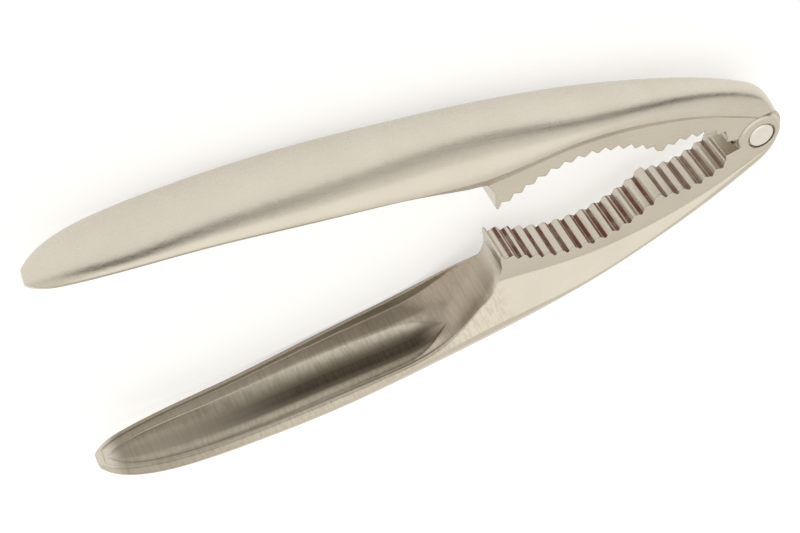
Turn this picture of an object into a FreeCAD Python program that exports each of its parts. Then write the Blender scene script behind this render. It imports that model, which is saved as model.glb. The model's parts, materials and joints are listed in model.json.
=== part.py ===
import FreeCAD, Part
import math
import os
import Sketcher
from FreeCAD import Placement, Rotation, Vector

# Hinged nutcracker: two die-cast levers that mirror each other and one pivot rivet.
#
# Each lever is drawn in its own frame. The pivot axis is that frame's Z axis, the
# handle points along -X, and "outward", away from the other lever, is +Y on the
# upper lever and -Y on the lower one. A place on a lever is given as (reach,
# outward): the distance from the pivot towards the handle's tip, and the distance
# outward from the line through the pivot. Each finished lever is then swung outward
# by the rest angle. Lengths are millimetres, angles are degrees.

UP, DOWN = 1, -1

# ---------------------------------------------------------------- driving dimensions
DIMENSIONS = {
    "rest_half_angle": 12.25,    # each lever's swing from the middle line at rest
    "pivot_forward": 87.82,      # pivot axis from the middle of the whole tool
    "pivot_height": 12.03,       # middle plane over the surface the tool lies on
    "jaw_width": 11.2,           # serrated web and pivot ears, across
    "jaw_start": 10.6,           # first tooth, measured from the pivot
    "jaw_end": 72.9,             # corner of the jaw, at the step down to the handle
    "hazelnut_arc": 20.0,        # radius of the small cradle
    "hazelnut_reach": 19.5,      # its centre, along the lever
    "hazelnut_depth": 4.1,       # its deepest point, outward
    "walnut_arc": 33.0,          # radius of the large cradle
    "walnut_reach": 45.0,
    "walnut_depth": 5.0,
    "straight_from": 64.0,       # where the large cradle's arc turns straight
    "pitch_walnut": 3.5,         # teeth in the large cradle
    "pitch_hazelnut": 3.15,
    "tooth_depth": 1.25,
    "land_walnut": 0.5,          # flat top of a tooth in the large cradle
    "land_hazelnut": 0.3,
    "knuckle_radius": 6.75,      # tongue, about the pivot
    "knuckle_gap": 0.3,          # radial gap between a knuckle and the lever it turns in
    "ear_radius": 6.1,           # each ear is a little off the pivot's centre
    "ear_reach": 0.42,
    "ear_outward": -0.49,
    "ear_edge": 1.0,             # rounding of the ear's outer edge
    "tongue_width": 6.0,
    "tongue_gap": 0.1,           # each side of the tongue
    "shank_radius": 3.0,         # rivet
    "bore_clearance": 0.05,      # radial, rivet to tongue
    "head_radius": 3.45,
    "head_edge": 0.45,           # rounding of the head's edge
    "head_height": 1.1,
    "recess_radius": 3.85,       # round recess in each ear for the rivet's head
    "recess_depth": 1.2,
    "shoulder_angle": 54.0,      # end face of the upper lever behind the pivot
}

# Shell stations: reach, half width, outward place of the widest line, height of the back
STATIONS = {
    "heel": (-5.6, 3.0, 0.8, 1.4),
    "nape": (-5.0, 4.4, 2.6, 3.9),
    "turn": (-3.6, 5.1, 4.1, 6.5),
    "knuckle": (-0.8, 5.6, 5.5, 9.9),
    "neck": (4.5, 5.75, 7.1, 12.7),
    "nut_end": (11.0, 6.0, 8.9, 14.6),
    "throat": (20.0, 6.5, 11.0, 16.3),
    "bridge": (38.0, 7.8, 13.3, 17.9),
    "cradle": (58.0, 9.7, 12.8, 18.4),
    "step": (78.0, 11.5, 9.0, 18.4),
    "palm": (100.0, 12.0, 7.6, 16.4),
    "grip": (125.0, 12.0, 6.4, 12.9),
    "finger": (148.0, 10.9, 4.0, 8.6),
    "taper": (165.0, 9.8, 1.1, 4.3),
    "nose": (176.0, 7.9, -1.6, 1.2),
    "tip": (182.0, 5.5, -3.7, -1.5),
    "end": (185.3, 2.3, -4.9, -3.9),
}


def sheet_of(document):
    sheet = document.addObject("Spreadsheet::Sheet", "Sizes")
    row = 1
    for alias, value in DIMENSIONS.items():
        sheet.set(f"A{row}", alias)
        sheet.set(f"B{row}", str(value))
        sheet.setAlias(f"B{row}", alias)
        row += 1
    for name, values in STATIONS.items():
        for word, value in zip(("reach", "half_width", "wide_line", "back"), values):
            sheet.set(f"A{row}", f"{name}_{word}")
            sheet.set(f"B{row}", str(value))
            sheet.setAlias(f"B{row}", f"{name}_{word}")
            row += 1
    document.recompute()
    return sheet


document = FreeCAD.newDocument("nutcracker")
sizes = sheet_of(document)


def size(alias):
    return float(getattr(sizes, alias))


# ---------------------------------------------------------------- sketch helpers
def origin_plane(body, role):
    return next(f for f in body.Origin.OriginFeatures if f.Role == role)


def new_sketch(body, name, role, offset=None):
    """An empty sketch on one of the body's origin planes, moved along its normal by a formula."""
    sketch = body.newObject("Sketcher::SketchObject", f"{body.Name}_{name}")
    sketch.AttachmentSupport = [(origin_plane(body, role), "")]
    sketch.MapMode = "FlatFace"
    if offset is not None:
        sketch.setExpression("AttachmentOffset.Base.z", offset)
    return sketch


def flat(side, place):
    """A (reach, outward) place as a point of the lever's XY plane."""
    reach, outward = place
    return Vector(-reach, side * outward, 0)


def add_path(sketch, edges):
    """Adds curves that follow each other round a closed outline, and joins their ends."""
    ids = [sketch.addGeometry(edge, False) for edge in edges]
    for here, there in zip(ids, ids[1:] + ids[:1]):
        ends = [(a, b) for a in (1, 2) for b in (1, 2)]
        gaps = [sketch.getPoint(here, a).distanceToPoint(sketch.getPoint(there, b)) for a, b in ends]
        near = ends[gaps.index(min(gaps))]
        sketch.addConstraint(Sketcher.Constraint("Coincident", here, near[0], there, near[1]))


def arc_through(start, middle, end):
    """An arc that turns anticlockwise, which is how a sketch stores one."""
    turn = (middle - start).cross(end - middle).z
    return Part.Arc(start, middle, end) if turn > 0 else Part.Arc(end, middle, start)


def spline_through(points):
    curve = Part.BSplineCurve()
    curve.interpolate(points)
    return curve


def polyline(points):
    return [Part.LineSegment(a, b) for a, b in zip(points, points[1:])]


def add_circle(sketch, radius_formula):
    index = sketch.addGeometry(Part.Circle(Vector(0, 0, 0), Vector(0, 0, 1), 5.0), False)
    sketch.addConstraint(Sketcher.Constraint("Coincident", index, 3, -1, 1))
    radius = sketch.addConstraint(Sketcher.Constraint("Radius", index, 5.0))
    sketch.setExpression(f"Constraints[{radius}]", radius_formula)


def pad(body, name, sketch, length_formula, start=None):
    feature = body.newObject("PartDesign::Pad", f"{body.Name}_{name}")
    feature.Profile = sketch
    feature.Midplane = start is None
    feature.setExpression("Length", length_formula)
    return feature


def cut(body, name, sketch, length_formula=None, reverse=None):
    """A pocket: right through, or a length evenly about the sketch plane or to one side of it."""
    before = body.Shape.Volume
    feature = body.newObject("PartDesign::Pocket", f"{body.Name}_{name}")
    feature.Profile = sketch
    feature.Midplane = reverse is None
    feature.Reversed = bool(reverse)
    if length_formula is None:
        feature.Type = 1
    else:
        feature.setExpression("Length", length_formula)
    document.recompute()
    if body.Shape.Volume > before - 1e-3:
        raise RuntimeError(f"{feature.Name} removed nothing")
    return feature


# ---------------------------------------------------------------- outer shell
UNDER_SLOPE = 1.4    # how steeply the underside falls away inside the widest line


def shell_section(body, side, name):
    """Half an ellipse over the back and a shallow V under it, across the lever."""
    half_width, wide_line, back = (size(f"{name}_{word}") for word in ("half_width", "wide_line", "back"))
    sketch = new_sketch(body, f"{name}_section", "YZ_Plane", f"-Sizes.{name}_reach")
    centre = Vector(side * wide_line, 0, 0)
    first = Vector(side * wide_line, -side * half_width, 0)
    last = Vector(side * wide_line, side * half_width, 0)
    crown = Vector(side * back, 0, 0)
    keel = Vector(side * (wide_line - UNDER_SLOPE * half_width), 0, 0)
    oval = Part.Ellipse(first, crown, centre)
    add_path(sketch, [Part.ArcOfEllipse(oval, 0, math.pi)] + polyline([last, keel, first]))
    return sketch


def add_shell(body, side):
    sections = [shell_section(body, side, name) for name in STATIONS]
    document.recompute()
    loft = body.newObject("PartDesign::AdditiveLoft", f"{body.Name}_shell")
    loft.Profile = sections[0]
    loft.Sections = sections[1:]
    loft.Ruled = False
    loft.Closed = False
    document.recompute()
    return loft


# ---------------------------------------------------------------- inner outline
BRIDGE_REACH = 30.0    # ridge between the two cradles
BRIDGE_LAND = 0.6      # smooth ground left on each side of that ridge
SLOT_FLOOR = 0.3       # outward place of the floor between the first tooth and the knuckle
STEP_FOOT = (73.9, -2.7)
STEP_MIDDLE = (77.5, 1.75)
RIM = [
    (83.0, 3.5),
    (90.0, 5.6),
    (98.0, 6.9),
    (110.0, 6.5),
    (124.0, 5.2),
    (148.0, 2.6),
    (168.0, -1.1),
    (181.0, -4.7),
    (190.0, -7.8),
]


def cradle(name):
    """Centre and radius of one of the two nut cradles."""
    radius = size(f"{name}_arc")
    return size(f"{name}_reach"), size(f"{name}_depth") - radius, radius


def on_cradle(name, reach):
    centre_reach, centre_outward, radius = cradle(name)
    return centre_outward + math.sqrt(radius**2 - (reach - centre_reach) ** 2)


def jaw_line():
    """The jaw's tooth tips as short steps from the small cradle to the corner at the step."""
    step = 0.05
    reach = size("jaw_start")
    places = []
    straight_from = size("straight_from")
    centre_reach, centre_outward, _ = cradle("walnut")
    outward_there = on_cradle("walnut", straight_from)
    slope = -(straight_from - centre_reach) / (outward_there - centre_outward)
    while reach <= size("jaw_end") + 1e-9:
        if reach < BRIDGE_REACH:
            outward = on_cradle("hazelnut", reach)
        elif reach < straight_from:
            outward = on_cradle("walnut", reach)
        else:
            outward = outward_there + slope * (reach - straight_from)
        places.append((reach, outward))
        reach += step
    return places


def teeth(places, cradle_name):
    """Narrow flat tips and V valleys along a run of the jaw line, one tooth to each pitch."""
    land = size(f"land_{cradle_name}")
    travelled = [0.0]
    for here, there in zip(places, places[1:]):
        travelled.append(travelled[-1] + math.dist(here, there))
    count = round(travelled[-1] / size(f"pitch_{cradle_name}"))
    pitch = (travelled[-1] - land) / count

    def at(distance, depth):
        k = next((i for i, t in enumerate(travelled) if t >= distance - 1e-9), len(places) - 1)
        k = min(max(k, 1), len(places) - 1)
        (r0, o0), (r1, o1) = places[k - 1], places[k]
        along = Vector(r1 - r0, o1 - o0, 0).normalize()
        outward = Vector(-along.y, along.x, 0)
        return r1 + outward.x * depth, o1 + outward.y * depth

    outline = [at(0, 0)]
    for tooth in range(count):
        outline.append(at(tooth * pitch + land, 0))
        outline.append(at(tooth * pitch + (land + pitch) / 2, size("tooth_depth")))
        outline.append(at((tooth + 1) * pitch, 0))
    outline.append(at(travelled[-1], 0))
    return outline


def step_and_rim(to_point):
    """The hollow curve from the jaw's corner up to the handle, and the handle's rim."""
    foot, middle, *rim = [to_point(place) for place in [STEP_FOOT, STEP_MIDDLE] + RIM]
    return arc_through(foot, middle, rim[0]), spline_through(rim)


def inner_outline(side):
    """Everything that faces the other lever: slot, teeth, jaw corner, step and handle rim."""
    line = jaw_line()
    small = [place for place in line if place[0] < BRIDGE_REACH - BRIDGE_LAND]
    large = [place for place in line if place[0] > BRIDGE_REACH + BRIDGE_LAND]
    toothed = teeth(small, "hazelnut") + teeth(large, "walnut")
    corner_reach, corner_outward = toothed[-1]
    step_top = (corner_reach + 0.4, corner_outward + 0.6)
    first = (size("jaw_start") - 0.2, SLOT_FLOOR)
    points = [flat(side, p) for p in [(-30.0, SLOT_FLOOR), first] + toothed + [step_top, STEP_FOOT]]
    far_side = -60.0
    beyond = [flat(side, p) for p in [RIM[-1], (RIM[-1][0], far_side), (-30.0, far_side)]]
    step, rim = step_and_rim(lambda place: flat(side, place))
    return polyline(points) + [step, rim] + polyline(beyond + points[:1])


def add_jaw(body, side):
    web = new_sketch(body, "web_outline", "XY_Plane")
    under_back = [(80.0, 7.0), (58.0, 11.6), (38.0, 12.2), (20.0, 10.2), (4.5, 6.6), (-0.8, 5.2)]
    corners = [(-0.8, -10.0), (80.0, -10.0)] + under_back
    add_path(web, polyline([flat(side, p) for p in corners + corners[:1]]))
    pad(body, "web", web, "Sizes.jaw_width")
    document.recompute()
    inner = new_sketch(body, "inner_outline", "XY_Plane")
    add_path(inner, inner_outline(side))
    document.recompute()
    cut(body, "inside", inner)


# ---------------------------------------------------------------- pivot end
def add_shoulder(body):
    """Leaves a radial face behind the pivot, which stops the lever at the end of its opening."""
    angle = math.radians(size("shoulder_angle"))
    far = 30.0
    beyond = (-far * math.cos(angle), far * math.sin(angle))
    corners = [(0.0, 0.0), beyond, (-far, beyond[1]), (-far, 0.0), (0.0, 0.0)]
    sketch = new_sketch(body, "end_outline", "XY_Plane")
    add_path(sketch, polyline([flat(UP, p) for p in corners]))
    document.recompute()
    cut(body, "end", sketch)


def disc(body, name, radius_formula, offset=None):
    sketch = new_sketch(body, name, "XY_Plane", offset)
    add_circle(sketch, radius_formula)
    return sketch


def add_tongue(body):
    """Middle knuckle of the upper lever, with the ears' round seats cut above and below it."""
    seat = "Sizes.knuckle_radius + Sizes.knuckle_gap"
    for name, half, reverse in (("seat_above", "0.5", True), ("seat_below", "-0.5", False)):
        sketch = disc(body, name, seat, f"{half} * Sizes.tongue_width")
        document.recompute()
        cut(body, f"{name}_cut", sketch, "Sizes.jaw_width", reverse)
    knuckle = disc(body, "tongue", "Sizes.knuckle_radius")
    pad(body, "tongue_pad", knuckle, "Sizes.tongue_width")
    bore = disc(body, "bore", "Sizes.shank_radius + Sizes.bore_clearance")
    document.recompute()
    cut(body, "bore_cut", bore)


def add_ears(body):
    """One turned disc with rounded edges, which the slot then parts into two ears."""
    sketch = new_sketch(body, "ears", "XZ_Plane")
    centre = flat(DOWN, (size("ear_reach"), size("ear_outward")))
    sketch.AttachmentOffset = Placement(Vector(centre.x, 0, -centre.y), Rotation())
    outer, face, edge = size("ear_radius"), size("jaw_width") / 2, size("ear_edge")
    inset = edge * (1 - math.sqrt(0.5))
    above = [(0, face), (outer - edge, face), (outer, face - edge)]
    points = [Vector(x, y, 0) for x, y in above + [(x, -y) for x, y in reversed(above)]]
    edges = polyline(points + points[:1])
    edges[1] = arc_through(points[1], Vector(outer - inset, face - inset, 0), points[2])
    edges[3] = arc_through(points[3], Vector(outer - inset, inset - face, 0), points[4])
    add_path(sketch, edges)
    turned = body.newObject("PartDesign::Revolution", f"{body.Name}_ears_turned")
    turned.Profile = sketch
    turned.ReferenceAxis = (sketch, ["V_Axis"])
    turned.Angle = 360


def add_fork(body):
    """Two ears of the lower lever, with the slot for the tongue and the seats of the rivet's heads."""
    add_ears(body)
    document.recompute()
    slot = disc(body, "slot", "Sizes.knuckle_radius + Sizes.knuckle_gap")
    document.recompute()
    cut(body, "slot_cut", slot, "Sizes.tongue_width + 2 * Sizes.tongue_gap")
    bore = disc(body, "bore", "Sizes.shank_radius")
    document.recompute()
    cut(body, "bore_cut", bore)
    for name, sign, reverse in (("head_seat_above", "0.5", False), ("head_seat_below", "-0.5", True)):
        sketch = disc(body, name, "Sizes.recess_radius", f"{sign} * Sizes.jaw_width")
        document.recompute()
        cut(body, f"{name}_cut", sketch, "Sizes.recess_depth", reverse)


# ---------------------------------------------------------------- hollow handle
# reach, wall left outside, then depth below the rim of the wall's foot and of the middle
HOLLOW = [
    (75.0, 0.0, -0.4, -0.1),
    (76.0, 0.0, -0.3, 0.2),
    (77.5, 0.0, -0.1, 0.9),
    (79.5, 0.0, 0.2, 2.1),
    (82.5, 0.0, 0.5, 4.0),
    (86.5, 0.2, 1.2, 5.9),
    (91.5, 0.4, 2.2, 6.6),
    (97.0, 0.6, 2.8, 6.4),
    (104.0, 0.6, 2.9, 6.0),
    (118.0, 0.6, 2.2, 4.8),
    (134.0, 0.6, 1.6, 3.6),
    (150.0, 0.6, 1.3, 2.9),
    (164.0, 0.6, 1.1, 2.3),
    (174.0, 0.6, 0.9, 1.8),
    (180.5, 0.7, 0.6, 1.2),
    (183.6, 0.8, 0.2, 0.3),
]
# reach, half width, depth of its side and of its middle, below the rim
BOAT = [
    (91.0, 0.3, 6.2, 6.4),
    (94.0, 2.1, 6.2, 6.9),
    (97.5, 4.1, 5.8, 7.3),
    (101.5, 5.8, 5.4, 7.7),
    (107.0, 6.7, 4.7, 7.4),
    (118.0, 7.0, 3.7, 6.4),
    (134.0, 7.0, 2.7, 5.2),
    (150.0, 6.7, 2.2, 4.3),
    (164.0, 6.1, 1.9, 3.4),
    (173.0, 5.0, 1.6, 2.7),
    (179.5, 3.0, 1.2, 1.9),
    (182.6, 0.9, 0.6, 0.8),
]
WALL_LEAN = 0.4      # how much closer to the middle the wall's foot is than its top
BOAT_LEAN = 0.1
OVER_RIM = 2.0       # how far the cutting shape stands over the rim


def rim_outward(reach):
    """Outward place of the step or the rim at one reach."""
    step, rim = step_and_rim(lambda place: Vector(*place, 0))
    upright = Part.LineSegment(Vector(reach, -40, 0), Vector(reach, 40, 0))
    return max(p.Y for p in (rim if reach > RIM[0][0] else step).intersect(upright))


def rim_half_width(body, side, reach):
    """Half the shell's width just under the rim, read off the solid."""
    place = flat(side, (reach, rim_outward(reach) + 0.05))
    across = Part.makeLine(place, place + Vector(0, 0, 40))
    return body.Shape.common(across).BoundBox.ZMax


def hollow_section(body, side, name, row, lean):
    reach, half_width, side_depth, middle_depth = row
    rim = rim_outward(reach)
    top, foot, middle = (side * (rim + d) for d in (-OVER_RIM, side_depth, middle_depth))
    sketch = new_sketch(body, name, "YZ_Plane")
    sketch.AttachmentOffset = Placement(Vector(0, 0, -reach), Rotation())
    corners = [
        Vector(foot, half_width - lean, 0),
        Vector(top, half_width, 0),
        Vector(top, -half_width, 0),
        Vector(foot, lean - half_width, 0),
    ]
    floor = arc_through(corners[-1], Vector(middle, 0, 0), corners[0])
    add_path(sketch, polyline(corners) + [floor])
    return sketch


def carve(body, side, name, rows, lean):
    sections = [hollow_section(body, side, f"{name}_{k}", row, lean) for k, row in enumerate(rows, 1)]
    document.recompute()
    before = body.Shape.Volume
    loft = body.newObject("PartDesign::SubtractiveLoft", f"{body.Name}_{name}")
    loft.Profile = sections[0]
    loft.Sections = sections[1:]
    document.recompute()
    if body.Shape.Volume > before - 1e-3:
        raise RuntimeError(f"{loft.Name} removed nothing")


# ---------------------------------------------------------------- rivet
def add_rivet(body):
    """Turned about its own axis: a shank with a round-edged flat head at each end."""
    shank, head, edge = size("shank_radius"), size("head_radius"), size("head_edge")
    seat = size("jaw_width") / 2 - size("recess_depth")
    crown = seat + size("head_height")
    sketch = new_sketch(body, "profile", "XZ_Plane")
    round_in = head - edge * (1 - math.sqrt(0.5))
    round_up = crown - edge * (1 - math.sqrt(0.5))
    above = [(0, crown), (head - edge, crown), (head, crown - edge), (head, seat), (shank, seat)]
    points = [Vector(x, y, 0) for x, y in above + [(x, -y) for x, y in reversed(above)]]
    edges = polyline(points + points[:1])
    edges[1] = arc_through(points[1], Vector(round_in, round_up, 0), points[2])
    edges[-3] = arc_through(points[-3], Vector(round_in, -round_up, 0), points[-2])
    add_path(sketch, edges)
    turned = body.newObject("PartDesign::Revolution", f"{body.Name}_turned")
    turned.Profile = sketch
    turned.ReferenceAxis = (sketch, ["V_Axis"])
    turned.Angle = 360


# ---------------------------------------------------------------- assembly
def build_lever(name, side):
    body = document.addObject("PartDesign::Body", name)
    add_shell(body, side)
    add_jaw(body, side)
    if side == UP:
        add_shoulder(body)
        add_tongue(body)
    else:
        add_fork(body)
    hollow = [(row[0], rim_half_width(body, side, row[0]) - row[1], *row[2:]) for row in HOLLOW]
    carve(body, side, "hollow", hollow, WALL_LEAN)
    carve(body, side, "boat", BOAT, BOAT_LEAN)
    return body


def build_rivet(name):
    body = document.addObject("PartDesign::Body", name)
    add_rivet(body)
    return body


def place(body, swing):
    """Swings a body about the pivot and moves the pivot from the zero point to its own place."""
    pivot = Vector(size("pivot_forward"), 0, size("pivot_height"))
    body.Placement = Placement(pivot, Rotation(Vector(0, 0, 1), swing))


def export(body):
    bad = [o.Name for o in document.Objects if "Invalid" in o.State or "Error" in o.State]
    if bad:
        raise RuntimeError(f"not computed: {bad}")
    shape = body.Shape
    if shape.isNull() or not shape.isValid() or len(shape.Solids) != 1:
        raise RuntimeError(f"{body.Label} is not one valid solid")
    shape.exportStep(f"parts/{body.Label}.step")
    box = shape.optimalBoundingBox(False)
    low = f"{box.XMin:.3f} {box.YMin:.3f} {box.ZMin:.3f}"
    print(f"{body.Label}: {shape.Volume:.0f} mm3, {low} to {box.XMax:.3f} {box.YMax:.3f} {box.ZMax:.3f}")


if __name__ == "__main__":
    os.makedirs("parts", exist_ok=True)
    upper = build_lever("upper_lever", UP)
    lower = build_lever("lower_lever", DOWN)
    rivet = build_rivet("pivot_rivet")
    rest = size("rest_half_angle")
    place(upper, -rest)
    place(lower, rest)
    place(rivet, 0)
    document.recompute()
    for part in (upper, lower, rivet):
        export(part)
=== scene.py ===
# %% [markdown]
# # A hinged nutcracker: from an engineering frame to a finished kitchen tool
# The real tool is two levers and one rivet. Each lever is taken to be a zinc die
# casting, plated with nickel and left satin, and the rivet to be polished steel.
# The shapes, sizes and the joint come from the engineering model, which is loaded
# as a fixed frame. This lesson adds what the eye needs: metal that looks cast,
# plated, brushed and used, a plain studio, and a camera. All lengths are metres.

# %% Load the frame and keep its size
import json
import math

import bpy
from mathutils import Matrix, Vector

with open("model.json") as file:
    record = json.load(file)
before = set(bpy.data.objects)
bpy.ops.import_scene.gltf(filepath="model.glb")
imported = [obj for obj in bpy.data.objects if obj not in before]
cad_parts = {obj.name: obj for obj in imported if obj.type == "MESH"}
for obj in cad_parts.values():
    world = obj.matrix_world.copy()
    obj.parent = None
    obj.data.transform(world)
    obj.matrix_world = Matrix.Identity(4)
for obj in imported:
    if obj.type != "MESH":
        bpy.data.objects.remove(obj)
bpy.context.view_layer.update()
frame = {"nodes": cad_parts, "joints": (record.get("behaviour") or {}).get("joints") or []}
print("nodes:", ", ".join(sorted(frame["nodes"])))

# %% [markdown]
# ## Finding our way round the tool
# Both levers swing about the rivet, so the rivet's axis is the natural zero point
# for every pattern on them. The levers lie at a small angle to the X axis, one each
# way. That angle and the pivot are all that a pattern needs to follow a lever.

# %% The pivot, the rest angle and a millimetre
MM = 0.001
REST_ANGLE = math.radians(12.25)
pivot = Vector(frame["joints"][0]["pos_m"])
print("pivot at, mm:", [round(v / MM, 2) for v in pivot])

# %% [markdown]
# ## One way to write a colour, one way to add a node
# Colours are easiest to read as the hex values that a paint chart gives, but a
# shader works in linear light, so one function turns the one into the other. A
# second small function adds any node with its settings and its links, which keeps
# a long material readable. Two groups of settings are used so often that they have
# names: one makes a Map Range node blend smoothly, one makes a Mix node mix colours.

# %% Colours
NICKEL, NICKEL_CLOUDED = "D9D3C7", "CBC4B7"


def linear(hex_colour):
    channels = [int(hex_colour[k:k + 2], 16) / 255 for k in (0, 2, 4)]
    return (*[c / 12.92 if c <= 0.04045 else ((c + 0.055) / 1.055) ** 2.4 for c in channels], 1.0)


print("satin nickel in linear light:", [round(v, 3) for v in linear(NICKEL)[:3]])

# %% Nodes
SMOOTH = {"interpolation_type": "SMOOTHSTEP"}   # 0 before the first value, 1 after the second
COLOURS = {"data_type": "RGBA"}


def connect(tree, value, socket):
    """Gives a socket a value, or links it to an output. A node stands for its first output in use."""
    if isinstance(value, bpy.types.Node):
        value = next(output for output in value.outputs if output.enabled)
    if isinstance(value, bpy.types.NodeSocket):
        tree.links.new(value, socket)
    else:
        socket.default_value = value


def add(tree, kind, *values, **named):
    """Adds a node. Values fill its inputs in use, in order. A name with a capital is an input
    too, and a name in small letters is one of the node's own settings."""
    node = tree.nodes.new("ShaderNode" + kind)
    for name, value in named.items():
        if name[0].islower():
            setattr(node, name, value)
    for value, socket in zip(values, [socket for socket in node.inputs if socket.enabled]):
        connect(tree, value, socket)
    for name, value in named.items():
        if name[0].isupper():
            connect(tree, value, node.inputs[name])
    return node


def new_material(name):
    material = bpy.data.materials.new(name)
    material.use_nodes = True
    return material, material.node_tree, material.node_tree.nodes["Principled BSDF"]


print("named settings for a node:", SMOOTH, COLOURS)

# %% [markdown]
# ## The levers' metal: satin nickel over die-cast zinc
# Nickel is a warm grey metal. A satin finish is made by tumbling or fine brushing
# before plating, so it reflects the room as soft, stretched lights, never as a
# mirror. Close up it shows three scales: a grain of about half a millimetre, faint
# clouds of a centimetre or so, and brush lines.
#
# Inside the handle the lines run across its width, about 0.7 mm apart, and the metal
# is a little duller. The jaw's teeth have brown lines: residue from shells in the
# valleys, and a painted brown reflection on the flank under each tip that faces the
# rivet; most in the large cradle and less in the small one.
#
# It could be one flat grey metal, but then the handle, the jaw and the back would
# look like one moulded toy. Masks made from where a point lies on the lever give
# each region its own look, with no image and no UV map.

# %% Sizes of the patterns, from the real finish
GRAIN = 0.45 * MM          # tumbling grain, drawn a little coarse so that it shows
CLOUD = 14 * MM            # slow change in the plating
BRUSH_LINE = 0.7 * MM      # lines across the inside of the handle
POLISH_LINE = 0.5 * MM     # fine lines along the back
BROWN_PATCH = 4 * MM       # how far apart thick and thin brown lies, residue and painted reflection alike
CORNER = 0.55 * MM         # how round the casting's edges look
print("grain, cloud, brush line in mm:", GRAIN / MM, CLOUD / MM, BRUSH_LINE / MM)

# %% The jaw and the handle, measured along a lever from the pivot
SMALL_CRADLE = dict(reach=19.5 * MM, outward=-15.9 * MM, radius=20.0 * MM)
LARGE_CRADLE = dict(reach=45.0 * MM, outward=-28.0 * MM, radius=33.0 * MM)
TOOTH_DEPTH = 1.25 * MM
JAW_START = 10.0 * MM      # the middle of the blend into the first tooth
RIDGE = 30.0 * MM          # where the small cradle ends and the large one starts
JAW_CORNER = 73.5 * MM     # just past the last tooth, on the ramp to the handle
HANDLE_END = 183.0 * MM    # the last of the hollow, inside the tip
print("large cradle's deepest tooth tip, mm outward:",
      round((LARGE_CRADLE["outward"] + LARGE_CRADLE["radius"]) / MM, 2))


# %% Where a point lies on a lever
def lever_place(tree, side):
    """Object coordinates turned into the lever's own: reach, outward and across."""
    where = add(tree, "TexCoord").outputs
    place = add(tree, "Mapping", where["Object"], vector_type="TEXTURE",
                Location=pivot, Rotation=(0, 0, -side * REST_ANGLE), Scale=(-1, side, 1))
    measures = add(tree, "SeparateXYZ", place).outputs
    facing = add(tree, "SeparateXYZ", where["Normal"]).outputs
    return place, measures, facing


print("the levers are turned by", round(math.degrees(REST_ANGLE), 2), "degrees, one each way")

# %% [markdown]
# ## Residue and a painted reflection in the teeth
# The tooth tips of each cradle lie on a circle, so the distance past that circle
# says how deep a point lies in the teeth. Residue fills the valleys. The thin brown
# line under each tip, on the side that faces the rivet, is a painted reflection.

# %% How deep a point lies in the teeth
IN_VALLEY = (0.56, 0.72, 1.10, 1.45)    # in tooth depths: starts, is full, is full, ends
# under each tip, on the flank that faces the rivet: a painted brown reflection, not residue
REFLECTION_UNDER_TIP = (0.02, 0.10, 0.36, 0.46)


def depth_in_teeth(tree, reach, outward, cradle):
    """0 at a tooth's tip and 1 at the floor of a valley."""
    from_centre = add(tree, "CombineXYZ", add(tree, "Math", reach, cradle["reach"], operation="SUBTRACT"),
                      add(tree, "Math", outward, cradle["outward"], operation="SUBTRACT"))
    length = add(tree, "VectorMath", from_centre, operation="LENGTH")
    past_tip = add(tree, "Math", length, cradle["radius"], operation="SUBTRACT")
    return add(tree, "Math", past_tip, TOOTH_DEPTH, operation="DIVIDE")


print("residue is full at", [round(d * TOOTH_DEPTH / MM, 2) for d in IN_VALLEY[1:3]], "mm below the tips")

# %% Brown residue, and a painted brown reflection
RIDGE_BLEND = 0.3 * MM
JAW_BLEND = 0.5 * MM
THIN_PATCH, SMALL_CRADLE_SHARE = 0.70, 0.75
FACES_RIVET, UPRIGHT = (0.1, 0.3), (0.6, 0.4)      # parts of a face's direction, along X and along Z
PATCHES = (0.34, 0.58)                             # of the noise: the brown is thin, and is thick


def residue_and_reflection(tree, place, reach, outward, facing):
    """1 where the brown is thickest, residue in the valleys and a painted reflection under the tips, and 0 on
    clean metal.
    """
    in_large = add(tree, "MapRange", reach, RIDGE - RIDGE_BLEND, RIDGE + RIDGE_BLEND, **SMOOTH)
    depth = add(tree, "Mix", in_large, depth_in_teeth(tree, reach, outward, SMALL_CRADLE),
                depth_in_teeth(tree, reach, outward, LARGE_CRADLE))
    layers = []
    for start, full, fade, gone in (IN_VALLEY, REFLECTION_UNDER_TIP):
        layers.append(add(tree, "Math", add(tree, "MapRange", depth, start, full, **SMOOTH),
                          add(tree, "MapRange", depth, gone, fade, **SMOOTH), operation="MULTIPLY"))
    faces_rivet = add(tree, "MapRange", facing[0], *FACES_RIVET, **SMOOTH)
    # the thin line under each tip is a painted brown reflection; the valleys hold residue
    line = add(tree, "Math", layers[1], faces_rivet, operation="MULTIPLY")
    stain_and_reflection = add(tree, "Math", layers[0], line, operation="MAXIMUM")

    patches = add(tree, "TexNoise", place, Scale=1 / BROWN_PATCH, Detail=4.0, Roughness=0.6)
    thickness = add(tree, "MapRange", patches, *PATCHES, **SMOOTH)
    upright = add(tree, "MapRange", add(tree, "Math", facing[2], operation="ABSOLUTE"), *UPRIGHT, **SMOOTH)
    in_jaw = add(tree, "Math",
                 add(tree, "MapRange", reach, JAW_START - JAW_BLEND, JAW_START + JAW_BLEND, **SMOOTH),
                 add(tree, "MapRange", reach, JAW_CORNER, JAW_CORNER - 2 * JAW_BLEND, **SMOOTH),
                 operation="MULTIPLY")
    for share in (add(tree, "Mix", thickness, THIN_PATCH, 1.0),
                  add(tree, "Mix", in_large, SMALL_CRADLE_SHARE, 1.0), upright, in_jaw):
        stain_and_reflection = add(tree, "Math", stain_and_reflection, share, operation="MULTIPLY")
    return stain_and_reflection


print("residue runs from", round(JAW_START / MM, 1), "to", round(JAW_CORNER / MM, 1), "mm from the pivot")
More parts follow.
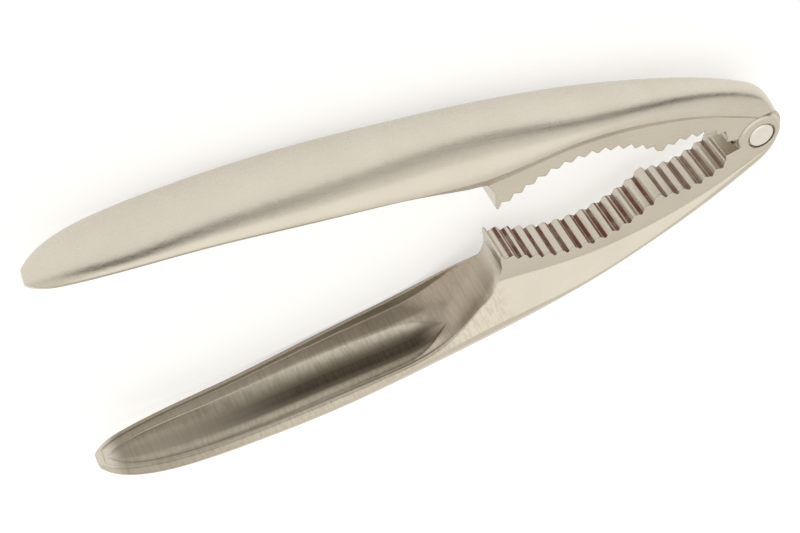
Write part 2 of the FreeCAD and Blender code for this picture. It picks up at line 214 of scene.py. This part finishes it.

# %% [markdown]
# ## The inside of the handle
# On the real tool the long pocket is a curved satin surface. It shows a soft dark
# band with a bright ledge beside it, and most of that is the room reflected in it.
# That room isn't known, so a colour ramp laid across the pocket, scaled to its width
# at each place, stands in for the reflection, and fades towards the tip. This is a
# makeshift: a real reflection would slide as the eye moves, and these colours stay
# put. They also differ between the pocket's two sides, and the real metal doesn't.
# The ramp behind the jaw is a warm grey, lighter on its upper ledge, and that lighter colour is a painted
# reflection.

# %% Which faces are inside the handle
RIVET_LEAN = 0.22          # walls that face the rivet, as at the hollow's end, count a little more
LOOKS_IN = (0.05, 0.30)    # how squarely a face looks at the other lever: outside, and inside
RAMP_LENGTH, TIP_BLEND = 5 * MM, 4 * MM


def inside_handle(tree, facing, side, reach):
    """1 on faces that look towards the other lever, beyond the jaw and before the tip."""
    towards = add(tree, "Math", facing[1], -side, operation="MULTIPLY")
    lean = add(tree, "Math", facing[0], RIVET_LEAN, operation="MULTIPLY")
    looks_in = add(tree, "MapRange", add(tree, "Math", towards, lean, operation="ADD"), *LOOKS_IN, **SMOOTH)
    past_jaw = add(tree, "MapRange", reach, JAW_CORNER, JAW_CORNER + RAMP_LENGTH, **SMOOTH)
    before_tip = add(tree, "MapRange", reach, HANDLE_END, HANDLE_END - TIP_BLEND, **SMOOTH)
    beyond = add(tree, "Math", looks_in, past_jaw, operation="MULTIPLY")
    return add(tree, "Math", beyond, before_tip, operation="MULTIPLY")


print("the inside runs to", round(HANDLE_END / MM), "mm from the pivot")

# %% Colours across the pocket
POCKET_MIDDLE, POCKET_HALF_LENGTH, POCKET_HALF_WIDTH = 125 * MM, 60 * MM, 7.0 * MM
NARROWEST = 0.03           # keeps the pocket's width above nothing past its ends
RAMP_REACHES = 2.0         # half-widths each way that the colour ramp covers
ACROSS_POCKET = [          # half-widths up from the middle, and the colour there
    (-1.60, "A0968A"),
    (-1.12, "ADA496"),
    (-0.98, "DAD4C7"),
    (-0.74, "D2CBBD"),
    (-0.46, "7F766A"),
    (-0.30, "4E463C"),
    (0.02, "3F382F"),
    (0.30, "6A6155"),
    (0.50, "C9C2B4"),
    (0.72, "F0EADD"),
    (0.95, "E6DFD1"),
    (1.08, "857B6C"),
    (1.20, "B8B0A1"),
    (1.60, "C6BEAF"),
]


def put_colours(ramp, colours, first, last):
    """Puts colours on a ramp node, at places measured from first to last."""
    stops = ramp.color_ramp.elements
    while len(stops) < len(colours):
        stops.new(0.5)
    for stop, (place, colour) in zip(stops, colours):
        stop.position = (place - first) / (last - first)
        stop.color = linear(colour)


print("pocket colours:", len(ACROSS_POCKET), "stops")


# %% Where each of those colours falls
UPPER_LEDGE = (3.0 * MM, 6.0 * MM)         # above the middle: starts, and is full
POCKET_START = (90 * MM, 101 * MM)         # from the pivot, likewise
TIP_FADE, TIP_FADE_AMOUNT = (130 * MM, 172 * MM), 0.8
# the lighter colour on the upper ledge behind the jaw is a painted reflection
BEHIND_JAW, BEHIND_JAW_LEDGE_REFLECTION, AT_TIP = "B9AE9F", "D8D1C3", "A29A8C"


def half_widths_across(tree, reach, across):
    """How far a point lies from the pocket's middle line, in half-widths of the pocket there."""
    past_middle = add(tree, "Math", reach, POCKET_MIDDLE, operation="SUBTRACT")
    along = add(tree, "Math", past_middle, POCKET_HALF_LENGTH, operation="DIVIDE")
    square = add(tree, "Math", along, along, operation="MULTIPLY")
    roundness = add(tree, "Math", 1.0, square, operation="SUBTRACT")
    roundness = add(tree, "Math", roundness, NARROWEST, operation="MAXIMUM")
    taper = add(tree, "Math", roundness, operation="SQRT")
    half_width = add(tree, "Math", taper, POCKET_HALF_WIDTH, operation="MULTIPLY")
    return add(tree, "Math", across, half_width, operation="DIVIDE")


def pocket_colour(tree, reach, across):
    position = add(tree, "MapRange", half_widths_across(tree, reach, across), -RAMP_REACHES, RAMP_REACHES)
    ramp = add(tree, "ValToRGB", position)
    put_colours(ramp, ACROSS_POCKET, -RAMP_REACHES, RAMP_REACHES)
    # painted reflection: the upper ledge behind the jaw is made lighter
    ledge_reflection = add(tree, "MapRange", across, *UPPER_LEDGE, **SMOOTH)
    behind_jaw = add(tree, "Mix", ledge_reflection, linear(BEHIND_JAW), linear(BEHIND_JAW_LEDGE_REFLECTION), **COLOURS)
    near_tip = add(tree, "MapRange", reach, *TIP_FADE, **SMOOTH)
    fading = add(tree, "Math", near_tip, TIP_FADE_AMOUNT, operation="MULTIPLY")
    pocket = add(tree, "Mix", fading, ramp, linear(AT_TIP), **COLOURS)
    in_pocket = add(tree, "MapRange", reach, *POCKET_START, **SMOOTH)
    return add(tree, "Mix", in_pocket, behind_jaw, pocket, **COLOURS)


print("the oval that shapes the ramp runs from", round((POCKET_MIDDLE - POCKET_HALF_LENGTH) / MM), "to",
      round((POCKET_MIDDLE + POCKET_HALF_LENGTH) / MM), "mm from the pivot")

# %% [markdown]
# ## Putting the metal together
# Colour, gloss and relief change from place to place on a lever. Each has a short
# step of its own, made with the same lines, so that a streak seen in the colour also
# shows in the gloss and the relief. Residue isn't metal, so the brown is also less
# metallic, on the painted reflection under the tooth tips as well as on the residue.

# %% Clouds, grain and lines
ACROSS_HANDLE = (1.0, 0.35, 0.06)   # along, outward, across: a small number draws noise out
ALONG_BACK = (0.04, 1.0, 1.0)       # into a line in that direction


def finish_patterns(tree, place, inside):
    clouds = add(tree, "TexNoise", place, Scale=1 / CLOUD, Detail=3.0, Roughness=0.5)
    grain = add(tree, "TexNoise", place, Scale=1 / GRAIN, Detail=2.0, Roughness=0.6)
    across_handle = add(tree, "Mapping", place, Scale=ACROSS_HANDLE)
    brushing = add(tree, "TexNoise", across_handle, Scale=1 / BRUSH_LINE, Detail=3.0, Roughness=0.7)
    along_back = add(tree, "Mapping", place, Scale=ALONG_BACK)
    polish = add(tree, "TexNoise", along_back, Scale=1 / POLISH_LINE, Detail=2.0, Roughness=0.6)
    return clouds, grain, add(tree, "Mix", inside, polish, brushing)


print("a polishing line is about", round(POLISH_LINE / ALONG_BACK[0] / MM, 1), "mm long")

# %% Colour
# one brown for the residue in the valleys and for the painted reflection under the tooth tips
STREAK, RESIDUE_AND_REFLECTION_BROWN = "6E6254", "6A2E10"
STREAK_OUTSIDE, STREAK_INSIDE, RESIDUE_AND_REFLECTION_COVER = 0.03, 0.22, 0.92
STREAK_LINES = (0.62, 0.35)         # of the lines: no streak, and a full streak


def nickel_colour(tree, clouds, lines, inside, pocket, stain_and_reflection):
    plating = add(tree, "Mix", clouds, linear(NICKEL), linear(NICKEL_CLOUDED), **COLOURS)
    bare = add(tree, "Mix", inside, plating, pocket, **COLOURS)
    streak = add(tree, "Math", add(tree, "MapRange", lines, *STREAK_LINES, **SMOOTH),
                 add(tree, "Mix", inside, STREAK_OUTSIDE, STREAK_INSIDE), operation="MULTIPLY")
    streaked = add(tree, "Mix", streak, bare, linear(STREAK), **COLOURS)
    cover = add(tree, "Math", stain_and_reflection, RESIDUE_AND_REFLECTION_COVER, operation="MULTIPLY")
    return add(tree, "Mix", cover, streaked, linear(RESIDUE_AND_REFLECTION_BROWN), **COLOURS)


print("residue brown in linear light:", [round(v, 3) for v in linear(RESIDUE_AND_REFLECTION_BROWN)[:3]])

# %% Gloss
SATIN_ROUGHNESS = (0.24, 0.36)
DULLER_INSIDE, RESIDUE_AND_REFLECTION_ROUGHNESS, RESIDUE_AND_REFLECTION_METALLIC = 0.07, 0.6, 0.15
GRAIN_SHARE = 0.5                   # how much grain counts beside the lines
TEXTURE = (0.45, 1.05)              # grain and lines together: smoothest, and roughest


def nickel_roughness(tree, grain, lines, inside, stain_and_reflection):
    grain_part = add(tree, "Math", grain, GRAIN_SHARE, operation="MULTIPLY")
    texture = add(tree, "Math", grain_part, lines, operation="ADD")
    satin = add(tree, "MapRange", texture, *TEXTURE, *SATIN_ROUGHNESS)
    duller = add(tree, "Math", satin, add(tree, "Math", inside, DULLER_INSIDE, operation="MULTIPLY"),
                 operation="ADD")
    return add(tree, "Mix", stain_and_reflection, duller, RESIDUE_AND_REFLECTION_ROUGHNESS)


print("satin nickel's roughness goes from", SATIN_ROUGHNESS[0], "to", SATIN_ROUGHNESS[1])

# %% Relief
RELIEF_DEPTH, RELIEF_STRENGTH = 0.03 * MM, 0.15
LINES_OUTSIDE, LINES_INSIDE = 0.5, 1.6


def nickel_relief(tree, grain, lines, inside):
    edge = add(tree, "Bevel", CORNER, samples=6)
    line_share = add(tree, "Mix", inside, LINES_OUTSIDE, LINES_INSIDE)
    relief = add(tree, "Math", add(tree, "Math", grain, GRAIN_SHARE, operation="MULTIPLY"),
                 add(tree, "Math", lines, line_share, operation="MULTIPLY"), operation="ADD")
    return add(tree, "Bump", Strength=RELIEF_STRENGTH, Distance=RELIEF_DEPTH, Height=relief, Normal=edge)


print("the relief is", round(RELIEF_DEPTH / MM, 3), "mm deep")


# %% Satin nickel, once for each lever
def satin_nickel(name, side):
    material, tree, metal = new_material(name)
    place, (reach, outward, across), facing = lever_place(tree, side)
    inside = inside_handle(tree, facing, side, reach)
    stain_and_reflection = residue_and_reflection(tree, place, reach, outward, facing)
    clouds, grain, lines = finish_patterns(tree, place, inside)
    colour = nickel_colour(tree, clouds, lines, inside, pocket_colour(tree, reach, across), stain_and_reflection)
    connect(tree, colour, metal.inputs["Base Color"])
    connect(tree, add(tree, "Mix", stain_and_reflection, 1.0, RESIDUE_AND_REFLECTION_METALLIC), metal.inputs["Metallic"])
    connect(tree, nickel_roughness(tree, grain, lines, inside, stain_and_reflection), metal.inputs["Roughness"])
    connect(tree, nickel_relief(tree, grain, lines, inside), metal.inputs["Normal"])
    return material


upper_metal = satin_nickel("satin nickel, upper lever", side=1)
lower_metal = satin_nickel("satin nickel, lower lever", side=-1)
print("made", upper_metal.name, "and", lower_metal.name, "with", len(upper_metal.node_tree.nodes), "nodes")

# %% [markdown]
# ## The rivet: polished steel
# The rivet is turned on a lathe and its heads are polished after it is set, so it
# is brighter and sharper than the levers. A plain mirror would look like glass from
# close up, so faint turning rings stay about its axis. Real ones are some tenths of a
# millimetre apart, too fine to show, so they are drawn 2.2 mm apart. A Mapping node
# puts their centre on the rivet.

# %% Polished steel with turning rings
RING = 2.2 * MM
WAVE_LENGTH = math.pi / 10      # a wave texture's own spacing, at a scale of 1
SPOT = 1.2 * MM                 # slight unevenness of the polish
RIVET_EDGE, RIVET_RELIEF = 0.2 * MM, 0.01 * MM
RIVET_ROUGHNESS = (0.10, 0.24)


def polished_steel(name):
    material, tree, metal = new_material(name)
    centred = add(tree, "Mapping", add(tree, "TexCoord").outputs["Object"], vector_type="TEXTURE", Location=pivot)
    rings = add(tree, "TexWave", centred, wave_type="RINGS", rings_direction="Z", wave_profile="SIN",
                Scale=WAVE_LENGTH / RING, Distortion=0.6, Detail=2.0)
    spots = add(tree, "TexNoise", centred, Scale=1 / SPOT, Detail=3.0)
    colour = add(tree, "Mix", spots, linear("F6F3EE"), linear("E6E2DA"), **COLOURS)
    connect(tree, colour, metal.inputs["Base Color"])
    metal.inputs["Metallic"].default_value = 1.0
    connect(tree, add(tree, "MapRange", spots, 0.0, 1.0, *RIVET_ROUGHNESS), metal.inputs["Roughness"])
    edge = add(tree, "Bevel", RIVET_EDGE, samples=4)
    relief = add(tree, "Bump", Strength=RELIEF_STRENGTH, Distance=RIVET_RELIEF,
                 Height=rings.outputs["Fac"], Normal=edge)
    connect(tree, relief, metal.inputs["Normal"])
    return material


rivet_metal = polished_steel("polished steel, rivet")
print("made", rivet_metal.name)

# %% Put each finish in its piece's material slot
for piece, metal in (("upper_lever", upper_metal), ("lower_lever", lower_metal), ("pivot_rivet", rivet_metal)):
    mesh = frame["nodes"][piece].data
    if not mesh.materials:
        mesh.materials.append(metal)
    for k in range(len(mesh.materials)):
        mesh.materials[k] = metal
    print(piece, "is now", metal.name)

# %% [markdown]
# ## The studio
# Metal shows the room more than itself. A satin metal in an all-white room looks
# like plaster, so the room needs a dark place: the sky here is off-white all round,
# but for one dark stretch low on the upper lever's side, with a paler gap in it like
# a window. It shows as a soft dark line along that lever. The floor is a plain pale
# sheet that also gives a little light of its own, which keeps it white and its
# shadows soft. One broad soft box hangs overhead. The Standard view keeps white
# paper white.

# %% View
bpy.context.scene.view_settings.view_transform = "Standard"
print("view:", bpy.context.scene.view_settings.view_transform)

# %% Floor
FLOOR_SIZE, FLOOR_GLOW = 8.0, 0.49
bpy.ops.object.select_all(action="DESELECT")
bpy.ops.mesh.primitive_plane_add(size=FLOOR_SIZE, location=(0, 0, 0))
floor = bpy.context.object
floor.name = "floor"
paper, _, sheet = new_material("pale paper")
sheet.inputs["Base Color"].default_value = linear("D2D2D1")
sheet.inputs["Emission Color"].default_value = (1.0, 1.0, 1.0, 1.0)
sheet.inputs["Emission Strength"].default_value = FLOOR_GLOW
sheet.inputs["Roughness"].default_value = 0.9
sheet.inputs["Specular IOR Level"].default_value = 0.0
floor.data.materials.append(paper)
print("floor", floor.name, "with", paper.name)

# %% Sky, from horizon to horizon
# Degrees from overhead: -90 is the lower lever's side and 90 is the upper lever's.
ARCH = [(-90, "D8D3CA"), (-50, "DEDAD2"), (-26, "E2DFD8"), (42, "E2DFD8"), (60, "E2DFD8"), (90, "CFCBC4")]
SKY_STRENGTH = 1.2
world = bpy.data.worlds.new("studio")
bpy.context.scene.world = world
world.use_nodes = True
sky = world.node_tree
way = add(sky, "SeparateXYZ", add(sky, "TexCoord").outputs["Generated"]).outputs
round_x = add(sky, "Math", way[1], way[2], operation="ARCTAN2")
arch = add(sky, "ValToRGB", add(sky, "MapRange", round_x, -math.pi / 2, math.pi / 2))
put_colours(arch, ARCH, -90, 90)
print("sky colours:", len(ARCH), "stops")

# %% The dark stretch of horizon and its window
DARK = (50, 74)                        # degrees from overhead: starts, and is full
DARK_ENDS = (-0.55, -0.15)             # along X, where it starts and is full
WINDOW_MIDDLE, WINDOW = 0.34, (0.12, 0.46)
WINDOW_DARKNESS = 0.28                 # what is left of the dark in the window
horizon = add(sky, "MapRange", round_x, *[math.radians(d) for d in DARK], **SMOOTH)
from_window = add(sky, "Math", way[0], WINDOW_MIDDLE, operation="SUBTRACT")
from_window = add(sky, "Math", from_window, operation="ABSOLUTE")
darkness = add(sky, "Mix", add(sky, "MapRange", from_window, *WINDOW, **SMOOTH), WINDOW_DARKNESS, 1.0)
for share in (darkness, add(sky, "MapRange", way[0], *DARK_ENDS, **SMOOTH)):
    horizon = add(sky, "Math", horizon, share, operation="MULTIPLY")
shade = add(sky, "Mix", horizon, arch, linear("1E1B18"), **COLOURS)
background = sky.nodes["Background"]
connect(sky, shade, background.inputs["Color"])
background.inputs["Strength"].default_value = SKY_STRENGTH
print("the dark stretch is full", DARK[1], "degrees from overhead")

# %% Soft box overhead
BOX_PLACE, BOX_AIM, BOX_SIZE, BOX_POWER = Vector((0.1, 0.2, 1.2)), Vector((0, 0, 0.01)), 1.5, 2.2
lamp = bpy.data.lights.new("overhead", "AREA")
lamp.shape = "RECTANGLE"
lamp.size = lamp.size_y = BOX_SIZE
lamp.energy = BOX_POWER
box = bpy.data.objects.new("overhead", lamp)
bpy.context.scene.collection.objects.link(box)
box.location = BOX_PLACE
box.rotation_euler = (BOX_AIM - BOX_PLACE).to_track_quat("-Z", "Y").to_euler()
print(box.name, BOX_POWER, "W")

# %% [markdown]
# ## The camera
# A long lens from above, on the upper lever's side, rolled so that the handles
# spread to the left. A long lens keeps the near and the far lever in proportion.

# %% Camera
SENSOR_WIDTH, FOCAL_LENGTH = 36.0, 72.24
FROM_PIVOT, TURN = Vector((-0.1695, 0.2857, 0.2563)), (-45.505, -21.958, -6.226)
lens = bpy.data.cameras.new("camera")
lens.sensor_width = SENSOR_WIDTH
lens.lens = FOCAL_LENGTH
camera = bpy.data.objects.new("camera", lens)
bpy.context.scene.collection.objects.link(camera)
camera.location = pivot + FROM_PIVOT
camera.rotation_euler = [math.radians(angle) for angle in TURN]
bpy.context.scene.camera = camera
print("camera at, mm:", [round(v / MM) for v in camera.location])
